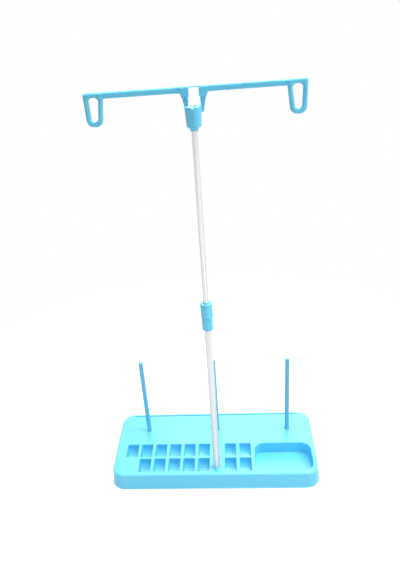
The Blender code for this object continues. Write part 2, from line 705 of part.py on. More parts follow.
def loop_block_outline(side):
    inner = BAR_HALF_LENGTH - LOOP_WIDTH + BAR_EDGE
    outer = BAR_HALF_LENGTH - LOOP_WIDTH + LOOP_STRIP - BAR_EDGE
    low = bar_top - LOOP_BLOCK_HEIGHT
    high = bar_top - BAR_EDGE
    return [(side * x + BAR_SHIFT, z) for x, z in ((inner, low), (outer, low), (outer, high), (inner, high))]


def notch_cutter(place):
    """V-shaped groove along Y across the collar's top."""
    reach = COLLAR_TOP_RADIUS + OVERCUT
    slope = NOTCH_WIDTH / 2 / NOTCH_DEPTH
    outline = [(0, collar_top - NOTCH_DEPTH), (NOTCH_WIDTH / 2 + slope * OVERCUT, collar_top + OVERCUT),
               (-NOTCH_WIDTH / 2 - slope * OVERCUT, collar_top + OVERCUT)]
    return plate("thread_notch", outline, [], -reach, 2 * reach, place)


def make_guide_bar(look):
    """One moulding: bar, end loops, arms round the eye, and the collar that sits on the upper tube."""
    place = (POLE_X, pole_y, 0)
    bar = plate("guide_bar", bar_outline(), [loop_hole(-1), loop_hole(1), eye_hole()], BAR_FRONT_SETBACK, BAR_DEPTH,
                place, look)
    rounding = bar.modifiers.new("edges", "BEVEL")
    rounding.width = BAR_EDGE
    rounding.segments = 2
    rounding.limit_method = "ANGLE"
    rounding.angle_limit = math.radians(60)
    neck = collar_foot - COLLAR_NECK_HEIGHT
    bore = UPPER_TUBE_RADIUS + FIT
    profile = [(0, neck), (bore + COLLAR_NECK_LIP, neck), (bore + COLLAR_NECK_WALL, collar_foot)]
    profile += arc((COLLAR_FOOT_RADIUS - COLLAR_FOOT_ROUND, collar_foot + COLLAR_FOOT_ROUND), COLLAR_FOOT_ROUND, 270,
                   360, EDGE_STEPS)
    profile += arc((COLLAR_TOP_RADIUS - COLLAR_ROUND, collar_top - COLLAR_ROUND), COLLAR_ROUND, 0, 90, EDGE_STEPS)
    profile.append((0, collar_top))
    added = [turned("collar", profile, place)]
    for side in (-1, 1):
        added.append(block("arm_block", arm_block_outline(side), ARM_BLOCK_PROUD, place))
        added.append(block("loop_block", loop_block_outline(side), LOOP_BLOCK_PROUD, place))
    combine_all(bar, added, "UNION")
    bore_cutter = rod("collar_bore", bore, neck - OVERCUT, upper_top + FIT, POLE_X, pole_y, ROUND_SIDES)
    combine_all(bar, [bore_cutter, notch_cutter(place)], "DIFFERENCE")


def build():
    for obj in list(bpy.data.objects):
        bpy.data.objects.remove(obj)
    blue = make_look("sky_blue_plastic", (0.12, 0.62, 0.90), 0.35, 0.0)
    deep_blue = make_look("pin_blue_plastic", (0.06, 0.45, 0.80), 0.35, 0.0)
    natural = make_look("natural_nylon", (0.80, 0.80, 0.76), 0.5, 0.0)
    tube_metal = make_look("drawn_aluminium", (0.82, 0.82, 0.84), 0.3, 1.0)
    steel = make_look("zinc_plated_steel", (0.62, 0.62, 0.64), 0.35, 1.0)
    rubber = make_look("black_rubber", (0.03, 0.03, 0.03), 0.8, 0.0)

    make_base_tray(blue)
    make_base_cover(blue)
    make_cover_screws(steel)
    make_foot_pads(rubber)
    make_spool_pins(deep_blue)
    make_lower_pole(tube_metal, natural, steel)
    make_lock_sleeve(blue)
    make_lock_collet(natural)
    make_lock_nut(blue)
    make_upper_tube(tube_metal, natural)
    make_guide_bar(blue)


build()
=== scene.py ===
# Looks of the thread spool stand: moulded sky blue plastic base, pins and guide bar on a drawn tube pole.
# Metres, +Z up. Sizes in the dictionaries are millimetres where their name ends in Mm.

import math

import bmesh
import bpy
import numpy as np
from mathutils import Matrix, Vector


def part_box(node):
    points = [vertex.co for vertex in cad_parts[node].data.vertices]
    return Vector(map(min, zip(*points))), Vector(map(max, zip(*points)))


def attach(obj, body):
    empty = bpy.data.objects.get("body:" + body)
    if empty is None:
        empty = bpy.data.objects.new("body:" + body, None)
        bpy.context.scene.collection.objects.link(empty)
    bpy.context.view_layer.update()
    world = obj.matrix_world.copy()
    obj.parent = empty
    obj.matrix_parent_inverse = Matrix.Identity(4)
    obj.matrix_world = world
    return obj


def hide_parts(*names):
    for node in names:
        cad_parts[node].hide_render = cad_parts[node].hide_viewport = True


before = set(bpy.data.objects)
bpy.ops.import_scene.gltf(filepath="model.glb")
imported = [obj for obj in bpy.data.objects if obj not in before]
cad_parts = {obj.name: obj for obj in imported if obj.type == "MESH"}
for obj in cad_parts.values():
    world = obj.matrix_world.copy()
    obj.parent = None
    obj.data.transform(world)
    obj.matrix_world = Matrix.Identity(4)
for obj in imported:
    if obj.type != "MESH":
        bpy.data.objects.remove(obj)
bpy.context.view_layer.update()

mm = 0.001
over = 1.0 * mm                    # how far a cutter runs on past what it cuts


# Camera, floor and light

camera = {
    "place": (0.03053, -0.51963, 0.50606),
    "turnDegrees": (62.054, 4.561, 3.584),
    "lens": 36.366,
    "sensor": 36.0,
    "shift": (0.034474, 0.004842),
}

studio = {
    "floorSize": 40.0,
    "floorColour": "#B4B5B6",
    "floorGlow": 0.72,          # what keeps the floor white to the eye although it is lit softly
    "whiteFrom": 0.20,          # distance from the middle at which the floor starts to fade to plain white
    "whiteAt": 0.50,
    "skyBright": 0.50,          # how much light the surroundings give, from skyWay and from the other side
    "skyDim": 0.02,
    "skyWay": (-1.0, 0.0, 0.0),
}
softboxes = {                   # place, what it is aimed at, size across, watts
    "top": ((0.25, 0.05, 1.60), (0, 0, 0.10), 1.0, 20.2),
    "back": ((0.10, 1.15, 1.05), (0, 0, 0.10), 1.0, 7.8),      # the deck's sheen mirrors this one
    "side": ((0.65, -0.10, 0.75), (0, 0, 0.10), 0.5, 4.2),
    "lowLeft": ((-0.35, -0.45, 0.06), (0, 0, 0.02), 0.3, 0.71),
    "lowRight": ((0.30, -0.48, 0.06), (0, 0, 0.02), 0.3, 0.93),
}


def linearColour(hexColour):
    # sRGB to linear: the low end is a straight line, the rest a power of 2.4
    parts = np.array([int(hexColour[k:k + 2], 16) for k in (1, 3, 5)]) / 255
    linear = np.where(parts <= 0.04045, parts / 12.92, ((parts + 0.055) / 1.055) ** 2.4)
    return (*linear.tolist(), 1.0)


def addNode(tree, kind, values={}, links={}, **settings):
    # one node with its settings, its socket values and its incoming links
    node = tree.nodes.new(kind)
    for name, value in settings.items():
        setattr(node, name, value)
    for name, value in values.items():
        node.inputs[name].default_value = value
    for name, source in links.items():
        tree.links.new(source, node.inputs[name])
    return node


def newObject(name, data):
    obj = bpy.data.objects.new(name, data)
    bpy.context.scene.collection.objects.link(obj)
    return obj


def placeCamera():
    data = bpy.data.cameras.new("photoCamera")
    data.sensor_width = camera["sensor"]
    data.lens = camera["lens"]
    data.shift_x, data.shift_y = camera["shift"]
    data.clip_start = 0.01
    obj = newObject("photoCamera", data)
    obj.location = camera["place"]
    obj.rotation_euler = [math.radians(a) for a in camera["turnDegrees"]]
    bpy.context.scene.camera = obj


def seenDirectly(tree):
    # 1 for the camera's own rays and for what mirrors or clear plastic show of the surroundings
    path = addNode(tree, "ShaderNodeLightPath")
    level = path.outputs["Is Camera Ray"]
    for ray in ("Is Glossy Ray", "Is Transmission Ray"):
        most = addNode(tree, "ShaderNodeMath", links={0: level, 1: path.outputs[ray]}, operation="MAXIMUM")
        level = most.outputs[0]
    return level


def makeFloor():
    half = studio["floorSize"] / 2
    mesh = bpy.data.meshes.new("studioFloor")
    mesh.from_pydata([(-half, -half, 0), (half, -half, 0), (half, half, 0), (-half, half, 0)], [], [(0, 1, 2, 3)])
    floor = newObject("studioFloor", mesh)
    look = bpy.data.materials.new("paperSweep")
    look.use_nodes = True
    tree = look.node_tree
    tree.nodes.clear()
    paper = addNode(tree, "ShaderNodeBsdfDiffuse", {"Color": linearColour(studio["floorColour"])})
    glow = addNode(tree, "ShaderNodeEmission", {"Color": (1, 1, 1, 1), "Strength": studio["floorGlow"]})
    lit = addNode(tree, "ShaderNodeAddShader", links={0: paper.outputs[0], 1: glow.outputs[0]})
    spot = addNode(tree, "ShaderNodeTexCoord").outputs["Object"]
    reach = addNode(tree, "ShaderNodeVectorMath", links={0: spot}, operation="LENGTH")
    fade = addNode(tree, "ShaderNodeMapRange", {"From Min": studio["whiteFrom"], "From Max": studio["whiteAt"]},
                   {"Value": reach.outputs["Value"]}, interpolation_type="SMOOTHSTEP")
    white = addNode(tree, "ShaderNodeEmission", {"Color": (1, 1, 1, 1), "Strength": 1.0})
    seen = addNode(tree, "ShaderNodeMixShader", links={0: fade.outputs[0], 1: lit.outputs[0], 2: white.outputs[0]})
    shown = addNode(tree, "ShaderNodeMixShader",
                    links={0: seenDirectly(tree), 1: paper.outputs[0], 2: seen.outputs[0]})
    addNode(tree, "ShaderNodeOutputMaterial", links={"Surface": shown.outputs[0]})
    mesh.materials.append(look)


def makeSky():
    # a white room: brighter on the left, and plain white where it is seen
    world = bpy.data.worlds.new("whiteRoom")
    world.use_nodes = True
    tree = world.node_tree
    tree.nodes.clear()
    way = addNode(tree, "ShaderNodeTexCoord")
    towards = addNode(tree, "ShaderNodeVectorMath", {1: studio["skyWay"]}, {0: way.outputs["Generated"]},
                      operation="DOT_PRODUCT")
    light = addNode(tree, "ShaderNodeMapRange",
                    {"From Min": -1.0, "From Max": 1.0, "To Min": studio["skyDim"], "To Max": studio["skyBright"]},
                    {"Value": towards.outputs["Value"]})
    level = addNode(tree, "ShaderNodeMix", {3: 1.0}, {0: seenDirectly(tree), 2: light.outputs[0]})
    sky = addNode(tree, "ShaderNodeBackground", {"Color": (1, 1, 1, 1)}, {"Strength": level.outputs[0]})
    addNode(tree, "ShaderNodeOutputWorld", links={"Surface": sky.outputs[0]})
    bpy.context.scene.world = world


def addSoftbox(name, place, target, size, power):
    data = bpy.data.lights.new(name, "AREA")
    data.shape = "DISK"
    data.size = size
    data.energy = power
    lamp = newObject(name, data)
    lamp.visible_camera = False
    lamp.location = place
    toTarget = np.array(target) - np.array(place)
    flat = math.hypot(toTarget[0], toTarget[1])
    lamp.rotation_euler = (math.atan2(flat, -toTarget[2]), 0, math.atan2(toTarget[1], toTarget[0]) - math.pi / 2)


placeCamera()
makeFloor()
makeSky()
for name, setting in softboxes.items():
    addSoftbox(name + "Softbox", *setting)
bpy.context.scene.view_settings.view_transform = "Standard"
print("studio: camera, floor and softboxes")


# Materials
#
# A pattern is soft noise: the size of its blotches in mm, its detail, and its stretch, where a small number draws it
# out that way. Its low and high levels give the two colours and the two roughnesses. Relief lists the patterns that
# dent the surface, each with its depth in mm. Sockets hold what is the same all over.

even = (1, 1, 1)
moulded = {
    "patterns": {"cloud": (38, 2, even), "rub": (7, 3, (0.4, 1, 1)), "ripple": (16, 0, even),
                 "grain": (0.35, 1, even)},
    "relief": [("ripple", 0.05), ("grain", 0.004)],
    "sockets": {"IOR": 1.54},
}
finishes = {
    # Injection moulded styrene or ABS. The eye sees a soft gloss with a slow ripple from shrinking, a very fine
    # grain of the mould, a little uneven colour, and faint rub marks that dull the gloss in places.
    "skyBlueMouldedPlastic": {
        **moulded,
        "colours": ("cloud", "#6DD8FB", "#69D4F8"),
        "roughness": ("rub", 0.305, 0.345),
    },
    # The same plastic in a deeper tint, a little duller.
    "deepBlueMouldedRod": {
        **moulded,
        "colours": ("cloud", "#63BDE8", "#5CB6E0"),
        "roughness": ("rub", 0.325, 0.365),
    },
    # Drawn and satin anodised tube. The eye sees a pale, milky metal with fine lines along its length, which smear
    # the reflections wide, and a slightly uneven lustre.
    "satinAnodisedTube": {
        "patterns": {"lines": (0.5, 2, (1, 1, 0.012)), "patches": (12, 1, (1, 1, 0.3))},
        "colours": ("lines", "#DFDFE0", "#D4D4D6"),
        "roughness": ("patches", 0.38, 0.46),
        "relief": [("lines", 0.004)],
        "sockets": {"Metallic": 0.6},
    },
    # Cold headed steel with a bright zinc plating. The eye sees a bluish grey metal, a little cloudy.
    "zincPlatedSteel": {
        "patterns": {"cloud": (1.1, 3, even), "grain": (0.3, 2, even)},
        "colours": ("cloud", "#C9CDD3", "#A4A9B2"),
        "roughness": ("cloud", 0.26, 0.42),
        "relief": [("grain", 0.006)],
        "sockets": {"Metallic": 1.0},
    },
    # Unfilled nylon as it comes from the mould. The eye sees a milky, waxy white with a soft sheen.
    "naturalNylon": {
        "patterns": {"cloud": (3, 2, even), "grain": (0.4, 2, even)},
        "colours": ("cloud", "#ECEBE2", "#DFDDD0"),
        "roughness": ("cloud", 0.42, 0.54),
        "relief": [("grain", 0.008)],
        "sockets": {"IOR": 1.53},
    },
    # Die cut rubber sheet. The eye sees a dull charcoal with a fine pitted grain and lighter scuffs.
    "dieCutRubber": {
        "patterns": {"scuff": (1.6, 4, even), "grain": (0.35, 2, even)},
        "colours": ("scuff", "#26272A", "#37383B"),
        "roughness": ("scuff", 0.72, 0.9),
        "relief": [("grain", 0.03)],
        "sockets": {"IOR": 1.52},
    },
}
noiseSpan = {"From Min": 0.3, "From Max": 0.7}      # the levels between which soft noise mostly lies


def patterned(name):
    # Principled material of one finish, on Object coordinates; each relief bumps what the one before it left
    finish = finishes[name]
    look = bpy.data.materials.new(name)
    look.use_nodes = True
    tree = look.node_tree
    shader = tree.nodes["Principled BSDF"]
    for socket, value in finish["sockets"].items():
        shader.inputs[socket].default_value = value
    spot = addNode(tree, "ShaderNodeTexCoord").outputs["Object"]
    level = {}
    for pattern, (sizeMm, detail, stretch) in finish["patterns"].items():
        placed = addNode(tree, "ShaderNodeMapping", {"Scale": stretch}, {"Vector": spot})
        noise = addNode(tree, "ShaderNodeTexNoise", {"Scale": 1 / (sizeMm * mm), "Detail": detail, "Roughness": 0.5},
                        {"Vector": placed.outputs[0]})
        level[pattern] = noise.outputs["Fac"]
    pattern, pale, deep = finish["colours"]
    share = addNode(tree, "ShaderNodeMapRange", noiseSpan, {"Value": level[pattern]})
    tone = addNode(tree, "ShaderNodeMix", {6: linearColour(pale), 7: linearColour(deep)}, {0: share.outputs[0]},
                   data_type="RGBA")
    tree.links.new(tone.outputs[2], shader.inputs["Base Color"])
    pattern, low, high = finish["roughness"]
    gloss = addNode(tree, "ShaderNodeMapRange", {**noiseSpan, "To Min": low, "To Max": high},
                    {"Value": level[pattern]})
    tree.links.new(gloss.outputs[0], shader.inputs["Roughness"])
    before = {}
    for pattern, depthMm in finish["relief"]:
        bump = addNode(tree, "ShaderNodeBump", {"Strength": 1.0, "Distance": depthMm * mm},
                       {"Height": level[pattern], **before})
        before = {"Normal": bump.outputs[0]}
    tree.links.new(before["Normal"], shader.inputs["Normal"])
    return look


looks = {                          # the record's material slots and their materials here
    "sky_blue_plastic": patterned("skyBlueMouldedPlastic"),
    "pin_blue_plastic": patterned("deepBlueMouldedRod"),
    "tube_metal": patterned("satinAnodisedTube"),
    "plated_steel": patterned("zincPlatedSteel"),
    "natural_nylon": patterned("naturalNylon"),
    "rubber": patterned("dieCutRubber"),
}
print("materials: plastic, rod, tube, steel, nylon, rubber")


# Shapes

def roundedCorners(points, radii, steps=6):
    # Closed outline with round corners: at each corner the arc of the given radius that touches both sides.
    # Its centre lies on the bisector, radius / sin(half angle) away, and it starts radius / tan(half angle) away.
    corner = np.array(points, float)
    radius = np.broadcast_to(np.array(radii, float), len(corner))
    before = np.roll(corner, 1, axis=0) - corner
    after = np.roll(corner, -1, axis=0) - corner
    before /= np.linalg.norm(before, axis=1, keepdims=True)
    after /= np.linalg.norm(after, axis=1, keepdims=True)
    halfAngle = np.arccos(np.clip((before * after).sum(1), -1, 1)) / 2
    bisector = before + after
    bisector /= np.maximum(np.linalg.norm(bisector, axis=1, keepdims=True), 1e-12)
    centre = corner + bisector * (radius / np.sin(halfAngle))[:, None]
    start = corner + before * (radius / np.tan(halfAngle))[:, None] - centre
    turn = np.pi - 2 * halfAngle
    side = np.sign(before[:, 0] * after[:, 1] - before[:, 1] * after[:, 0])
    angle = -side[:, None] * turn[:, None] * np.linspace(0, 1, steps + 1)[None, :]
    x = start[:, :1] * np.cos(angle) - start[:, 1:] * np.sin(angle)
    y = start[:, :1] * np.sin(angle) + start[:, 1:] * np.cos(angle)
    loop = (centre[:, None, :] + np.stack([x, y], axis=2)).reshape(-1, 2)
    gap = np.linalg.norm(loop - np.roll(loop, 1, axis=0), axis=1)
    return loop[gap > 1e-8]


def outwardNormals(loop):
    # unit normals of a closed outline that runs anticlockwise: the middle of both sides' normals at each point
    ahead = np.roll(loop, -1, axis=0) - loop
    ahead /= np.linalg.norm(ahead, axis=1, keepdims=True)
    mean = ahead + np.roll(ahead, 1, axis=0)
    mean /= np.linalg.norm(mean, axis=1, keepdims=True)
    spread = np.sqrt(np.maximum((1 + (ahead * np.roll(ahead, 1, axis=0)).sum(1)) / 2, 0.05))
    return np.stack([mean[:, 1], -mean[:, 0]], axis=1) / spread[:, None]


def anticlockwise(loop):
    x, y = loop[:, 0], loop[:, 1]
    area = (x * np.roll(y, -1) - np.roll(x, -1) * y).sum()
    return loop if area > 0 else loop[::-1]


def cleaned(mesh, nearest, shortest, outward=False):
    # the mesh with doubles merged and slivers taken out, and where asked with all faces pointing out
    bm = bmesh.new()
    bm.from_mesh(mesh)
    bmesh.ops.remove_doubles(bm, verts=bm.verts, dist=nearest)
    bmesh.ops.dissolve_degenerate(bm, edges=bm.edges, dist=shortest)
    if outward:
        bmesh.ops.recalc_face_normals(bm, faces=bm.faces)
    bm.to_mesh(mesh)
    bm.free()


def gridMesh(name, grid, closeRows=False, caps=False):
    # solid through a grid of points, rows by columns by 3, closed round its columns, and either closed round its
    # rows too or given flat caps on its end rows
    rows, columns = grid.shape[:2]
    index = np.arange(rows * columns).reshape(rows, columns)
    below = index if closeRows else index[:-1]
    above = np.roll(index, -1, axis=0) if closeRows else index[1:]
    faces = np.stack([below, np.roll(below, -1, axis=1), np.roll(above, -1, axis=1), above], axis=2)
    faces = faces.reshape(-1, 4).tolist()
    if caps:
        faces += [index[0][::-1].tolist(), index[-1].tolist()]
    mesh = bpy.data.meshes.new(name)
    mesh.from_pydata(grid.reshape(-1, 3).tolist(), [], faces)
    cleaned(mesh, 2e-7, 1e-8, outward=True)
    return newObject(name, mesh)


def solidOfRevolution(name, points, roundingMm, centre, sides=96, steps=5):
    # Turned solid: the closed profile of (radius, height), each corner rounded by its own radius, is carried round
    # the upright line through centre. A corner on that line has radius 0.
    profile = roundedCorners(points, np.array(roundingMm) * mm, steps)
    angle = np.linspace(0, 2 * np.pi, sides, endpoint=False)
    radius = np.maximum(profile[:, :1], 0)
    grid = np.stack([centre[0] + radius * np.cos(angle), centre[1] + radius * np.sin(angle),
                     np.broadcast_to(profile[:, 1:], (len(profile), sides))], axis=2)
    return gridMesh(name, grid, closeRows=True)


def stackedLoops(name, loops, heights):
    # closed solid through level outlines with as many points each
    grid = np.stack([np.column_stack([loop, np.full(len(loop), z)]) for loop, z in zip(loops, heights)])
    return gridMesh(name, grid, caps=True)


def stackedRectangles(name, low, high, radius, grows, heights, steps):
    # closed solid whose plan between two corners is grown on all sides, its corner radius too, by one of grows at
    # each height
    loops = []
    for grow in grows:
        x0, y0, x1, y1 = low[0] - grow, low[1] - grow, high[0] + grow, high[1] + grow
        loops.append(roundedCorners([(x0, y0), (x1, y0), (x1, y1), (x0, y1)], max(radius + grow, 1e-5), steps))
    return stackedLoops(name, loops, heights)


def quarter(radius, steps=6):
    # quarter of a circle as (inset, rise): from (0, 0), where it leaves a wall, to (radius, radius)
    angle = np.linspace(0, np.pi / 2, steps + 1)
    return radius * (1 - np.cos(angle)), radius * np.sin(angle)


def combined(piece, tools, operation):
    # one Boolean with several solids, which may overlap each other; the tools are used up
    group = bpy.data.collections.new(piece.name + operation.title())
    bpy.context.scene.collection.children.link(group)
    for tool in tools:
        bpy.context.scene.collection.objects.unlink(tool)
        group.objects.link(tool)
    step = piece.modifiers.new(operation.lower(), "BOOLEAN")
    step.solver = "EXACT"
    step.operation = operation
    step.operand_type = "COLLECTION"
    step.collection = group
    graph = bpy.context.evaluated_depsgraph_get()
    mesh = bpy.data.meshes.new_from_object(piece.evaluated_get(graph))
    piece.modifiers.clear()
    piece.data = mesh
    for tool in tools:
        bpy.data.objects.remove(tool)
    bpy.data.collections.remove(group)


def finished(piece, slot, body, *nodes):
    # smooth shading that follows the large faces, the piece's finish, the body that it moves with, and its nodes
    cleaned(piece.data, 1e-6, 1e-7)
    piece.data.materials.clear()
    piece.data.materials.append(looks[slot])
    piece.data.shade_smooth()
    piece.data.set_sharp_from_angle(angle=math.radians(42))
    shade = piece.modifiers.new("evenShading", "WEIGHTED_NORMAL")
    shade.keep_sharp = True
    shade.weight = 60
    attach(piece, body)
    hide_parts(*nodes)


# Places that the frame gives

def middle(node):
    low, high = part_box(node)
    return ((low.x + high.x) / 2, (low.y + high.y) / 2)


def roundOf(node):
    # radius of an upright round node at its widest
    low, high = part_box(node)
    return (high.x - low.x) / 2


poleMiddle = middle("lower_tube")
pinNodes = ["spool_pin_left", "spool_pin_centre", "spool_pin_right"]
screwNodes = ["cover_screw_%d" % k for k in (1, 2, 3, 4)]
padNodes = ["foot_pad_%d" % k for k in (1, 2, 3, 4)]
fit = 0.3 * mm                     # air between two pieces, as in the frame


# Base

base = {
    "cornerMm": 16.0,
    "draftMm": 2.0,
    "deckEdgeMm": 2.0,
    "skirtEdgeMm": 0.4,
    "wallMm": 2.0,
    "deckMm": 2.2,
    "ringMm": 1.2,                 # height of the raised ring round the pole
    "ringWallMm": 2.4,
    "ringEdgeMm": 0.7,
    "grooveMm": 1.4,               # width of the groove along the deck's straight rear edge
    "grooveDepthMm": 1.5,
    "grooveRimMm": 1.1,
    "socketDepthMm": 12.0,
    "socketFloorMm": 2.0,
    "socketFootEdgeMm": 0.3,
    "socketHoleMm": 1.8,           # radius of the hole for the pole's screw
    "pinBossDepthMm": 11.5,
    "pinBossWallMm": 2.2,
    "screwBossMm": 3.45,           # radii of the bosses for the cover's screws and of their bores
    "screwBoreMm": 1.55,
    "screwBoreDepthMm": 10.0,
    "boreEdgeMm": 0.25,
    "coverMm": 1.6,
}
slots = {
    "widthMm": 13.0,
    "pitchMm": 16.97,
    "lengthMm": 20.0,
    "straightMm": 2.8,
    "rimMm": 0.6,
    "filletMm": 0.9,               # rounding between a slot's walls and floor, and of its corners
    "wallMm": 1.6,
    "cupEndMm": 0.6,               # bevel of the cups under the deck
    "fromFrontMm": 7.6,
    "stripMm": 3.0,
    "poleStripMm": 17.6,
    "leftColumns": 6,
    "rightColumns": 2,
}
tray = {
    "gapMm": 4.6,
    "fromEndMm": 6.8,
    "cornerMm": 11.5,
    "rimMm": 0.9,
    "filletMm": 1.4,
    "wallMm": 1.6,
    "floorMm": 5.1,
}
pins = {"radiusMm": 2.5, "tipMm": 0.9, "flangeMm": 1.8, "flangeHeightMm": 1.6}

baseLow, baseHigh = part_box("base_tray")
deckTop = baseHigh.z - base["ringMm"] * mm
skirtFoot = baseLow.z
slotFront = baseLow.y + slots["fromFrontMm"] * mm
slotLength = slots["lengthMm"] * mm
slotWidth = slots["widthMm"] * mm
rowFronts = [slotFront, slotFront + slotLength + slots["stripMm"] * mm]
rowsBack = rowFronts[1] + slotLength
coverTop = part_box("base_cover")[0].z + base["coverMm"] * mm


def slotColumns():
    # left edges of the columns: six to the left of the pole, counted outwards, and two to its right
    leftEnd = poleMiddle[0] - slots["poleStripMm"] / 2 * mm - slotWidth
    rightEnd = poleMiddle[0] + slots["poleStripMm"] / 2 * mm
    pitch = slots["pitchMm"] * mm
    return leftEnd - pitch * np.arange(slots["leftColumns"]), rightEnd + pitch * np.arange(slots["rightColumns"])


def baseShell():
    # The outer skirt, the deck's rounded edge and the hollow's inner faces as one profile of (inset, height)
    # that is carried round the base's plan; the deck and its underside are the two caps.
    edgeInset, edgeRise = quarter(base["deckEdgeMm"] * mm, 8)
    footInset, footRise = quarter(base["skirtEdgeMm"] * mm, 4)
    footEdge = base["skirtEdgeMm"] * mm
    wall = base["wallMm"] * mm
    top = deckTop - base["deckMm"] * mm
    draft = base["draftMm"] * mm / (deckTop - skirtFoot)
    edgeFoot = deckTop - base["deckEdgeMm"] * mm
    inner = [(wall + draft * (top - skirtFoot), top), (wall, skirtFoot)]
    foot = [(footEdge - r, skirtFoot + footEdge - i) for i, r in zip(footInset[::-1], footRise[::-1])]
    deck = [(draft * (edgeFoot + r - skirtFoot) + i, edgeFoot + r) for i, r in zip(edgeInset, edgeRise)]
    inset, height = np.array(inner + foot + deck).T
    return stackedRectangles("baseTray", baseLow, baseHigh, base["cornerMm"] * mm, -inset, height, 20)


def troughSection(inset, top):
    # upright walls over a half-round floor, drawn in on all sides by inset, as (y, z) from the slot's middle
    radius = slotLength / 2 - inset
    centre = deckTop - slots["straightMm"] * mm
    angle = np.linspace(np.pi, 2 * np.pi, 33)
    floor = np.stack([radius * np.cos(angle), centre + radius * np.sin(angle)], axis=1)
    return np.concatenate([[(-radius, top)], floor, [(radius, top)]])


def troughSolid(name, left, right, yMiddle, insets, top):
    # the section carried along X; insets are (distance from the end, inset), mirrored at the other end
    rows = []
    for x, inset in [(left + d, i) for d, i in insets] + [(right - d, i) for d, i in insets[::-1]]:
        section = troughSection(inset, top)
        rows.append(np.column_stack([np.full(len(section), x), yMiddle + section[:, 0], section[:, 1]]))
    return gridMesh(name, np.stack(rows), caps=True)


def slotCutters(left, yMiddle):
    # the trough, whose floor and upright corners are rounded, and the wider rounded mouth
    fillet = slots["filletMm"] * mm
    rim = slots["rimMm"] * mm
    inset, distance = quarter(fillet, 5)
    ends = list(zip(inset.tolist(), (fillet - distance).tolist()))
    trough = troughSolid("slotTrough", left, left + slotWidth, yMiddle, ends, deckTop + over)
    low = (left, yMiddle - slotLength / 2)
    high = (left + slotWidth, yMiddle + slotLength / 2)
    grow, rise = quarter(rim, 6)
    sliver = 0.03 * mm                 # the mouth starts this much inside the trough, so that no two faces meet flush
    grows = [-sliver] + grow.tolist() + [rim]
    heights = [deckTop - rim - sliver] + (deckTop - rim + rise).tolist() + [deckTop + over]
    return [trough, stackedRectangles("slotMouth", low, high, fillet, grows, heights, 6)]


def trayCorners():
    left = slotColumns()[1][-1] + slotWidth + tray["gapMm"] * mm
    return (left, slotFront), (baseHigh.x - tray["fromEndMm"] * mm, rowsBack)


def traySolid(name, wall, top, rim):
    # the tray's space, grown by wall: a filleted floor, upright sides and, for the space itself, a rounded rim
    low, high = trayCorners()
    floorFillet = tray["filletMm"] * mm + wall
    floor = tray["floorMm"] * mm - wall
    inset, drop = quarter(floorFillet, 8)
    grows = (wall - inset[::-1]).tolist()
    heights = (floor + floorFillet - drop[::-1]).tolist()
    if rim:
        grow, rise = quarter(rim, 6)
        grows += (wall + grow).tolist()
        heights += (deckTop - rim + rise).tolist()
    grows.append(wall + rim)
    heights.append(top)
    return stackedRectangles(name, low, high, tray["cornerMm"] * mm, grows, heights, 16)


def column(name, radius, low, high, centre, edgeMm=0):
    # upright rod, with its top edge rounded
    points = [(0, low), (radius, low), (radius, high), (0, high)]
    return solidOfRevolution(name, points, [0, 0, edgeMm, 0], centre, 64)


def boreCutter(name, radius, low, top, centre):
    # rod that widens to a rounded mouth from just under the level top
    edge = base["boreEdgeMm"] * mm
    start = top - 0.02 * mm
    points = [(0, low), (radius, low), (radius, start), (radius + 2 * edge, top + edge), (0, top + edge)]
    return solidOfRevolution(name, points, [0, 0, base["boreEdgeMm"], 0, 0], centre, 64)


def grooveCutter():
    # a long narrow slot with round ends, a rounded bottom and softened lips: levels are (mm wider, height)
    back = baseHigh.y - (base["draftMm"] + base["deckEdgeMm"] + base["grooveRimMm"]) * mm
    width = base["grooveMm"] * mm
    end = baseHigh.x - base["cornerMm"] * mm
    floor = deckTop - base["grooveDepthMm"] * mm
    levels = [(-0.25, floor), (-0.08, floor + 0.08 * mm), (0, floor + 0.25 * mm), (0, deckTop - 0.12 * mm),
              (0.04, deckTop - 0.03 * mm), (0.15, deckTop + 0.02 * mm), (0.15, deckTop + over)]
    grow, height = np.array(levels).T
    return stackedRectangles("rearGroove", (-end, back - width), (end, back), width * 0.45, grow * mm, height, 8)


